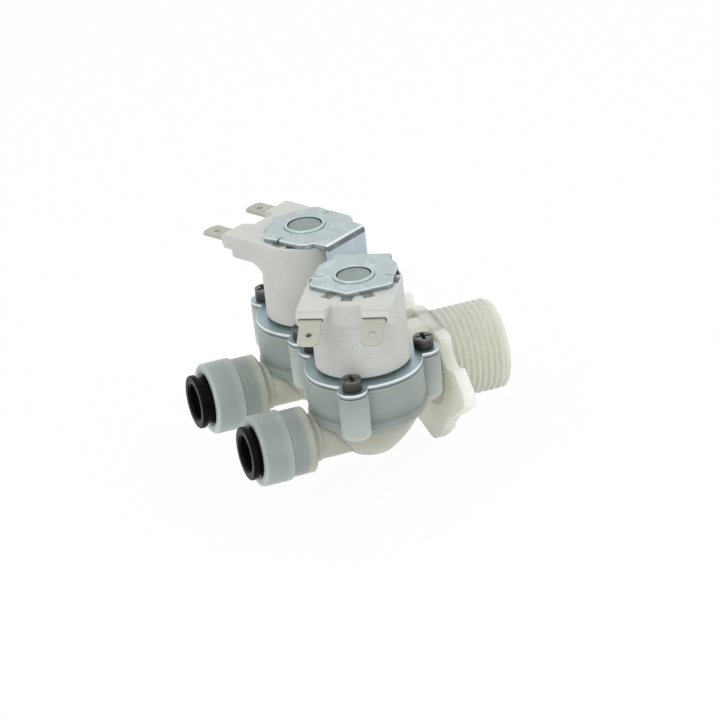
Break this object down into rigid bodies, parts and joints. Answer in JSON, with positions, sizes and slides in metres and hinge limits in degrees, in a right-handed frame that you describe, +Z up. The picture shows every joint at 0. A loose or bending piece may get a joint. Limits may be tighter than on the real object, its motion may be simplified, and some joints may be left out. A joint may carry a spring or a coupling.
{
  "type": "double solenoid water valve",
  "caption": "Solenoid water valve with a threaded inlet and two push-fit outlets, each opened by its own coil on a pilot diaphragm.",
  "frame": {"origin": "the inlet's axis at the front face of the mounting flange", "axes": "+X out of the inlet, +Y towards the back valve, +Z up along the valves' axes"},
  "size_m": [0.0858, 0.1036, 0.0672],
  "materials": {
    "nylon": "satin",
    "strainer": "satin",
    "coil_white": "satin",
    "bobbin_white": "matte",
    "collet_black": "satin",
    "rubber": "matte",
    "zinc": "satin zinc plate",
    "stainless": "satin",
    "screw_steel": "dark",
    "tin": "tin plate",
    "copper": "enamelled"
  },
  "bodies": {
    "valve": {"valve_body": "nylon", "inlet_strainer": "strainer", "front_outlet_cap": "nylon", "front_tube_o_ring": "rubber", "front_spacer_ring": "nylon", "front_diaphragm": "rubber", "front_bonnet": "bobbin_white", "front_guide_tube": "stainless", "front_pole_core": "stainless", "front_shading_ring": "copper", "front_plunger_spring": "stainless", "front_coil_housing": "coil_white", "front_bobbin": "bobbin_white", "front_winding": "copper", "front_flux_sleeve": "zinc", "front_terminal_1": "tin", "front_terminal_2": "tin", "front_yoke": "zinc", "front_screw_1": "screw_steel", "front_screw_2": "screw_steel", "front_screw_3": "screw_steel", "back_outlet_cap": "nylon", "back_tube_o_ring": "rubber", "back_spacer_ring": "nylon", "back_diaphragm": "rubber", "back_bonnet": "bobbin_white", "back_guide_tube": "stainless", "back_pole_core": "stainless", "back_shading_ring": "copper", "back_plunger_spring": "stainless", "back_coil_housing": "coil_white", "back_bobbin": "bobbin_white", "back_winding": "copper", "back_flux_sleeve": "zinc", "back_terminal_1": "tin", "back_terminal_2": "tin", "back_yoke": "zinc", "back_screw_1": "screw_steel", "back_screw_2": "screw_steel", "back_screw_3": "screw_steel"},
    "front_plunger_group": {"front_plunger": "stainless", "front_plunger_seal": "rubber"},
    "front_hub": {"front_diaphragm_hub": "bobbin_white"},
    "front_collet_ring": {"front_collet": "collet_black"},
    "back_plunger_group": {"back_plunger": "stainless", "back_plunger_seal": "rubber"},
    "back_hub": {"back_diaphragm_hub": "bobbin_white"},
    "back_collet_ring": {"back_collet": "collet_black"}
  },
  "joints": [
    {"name": "front_plunger_lift", "type": "slide", "parent": "valve", "child": "front_plunger_group", "axis": [0, 0, 1], "range_m": [0, 0.0022], "stiffness_N_per_m": 200, "springref_m": -0.004, "deforming": ["front_plunger_spring"]},
    {"name": "front_diaphragm_lift", "type": "slide", "parent": "valve", "child": "front_hub", "axis": [0, 0, 1], "range_m": [0, 0.0018], "deforming": ["front_diaphragm"]},
    {"name": "front_collet_push", "type": "slide", "parent": "valve", "child": "front_collet_ring", "axis": [1, 0, 0], "range_m": [-0.0012, 0.0008]},
    {"name": "back_plunger_lift", "type": "slide", "parent": "valve", "child": "back_plunger_group", "axis": [0, 0, 1], "range_m": [0, 0.0022], "stiffness_N_per_m": 200, "springref_m": -0.004, "deforming": ["back_plunger_spring"]},
    {"name": "back_diaphragm_lift", "type": "slide", "parent": "valve", "child": "back_hub", "axis": [0, 0, 1], "range_m": [0, 0.0018], "deforming": ["back_diaphragm"]},
    {"name": "back_collet_push", "type": "slide", "parent": "valve", "child": "back_collet_ring", "axis": [1, 0, 0], "range_m": [-0.0002, 0.0018]}
  ],
  "couplings": [
    {"joint": "front_diaphragm_lift", "follows": "front_plunger_lift", "ratio": 0.8},
    {"joint": "back_diaphragm_lift", "follows": "back_plunger_lift", "ratio": 0.8}
  ]
}
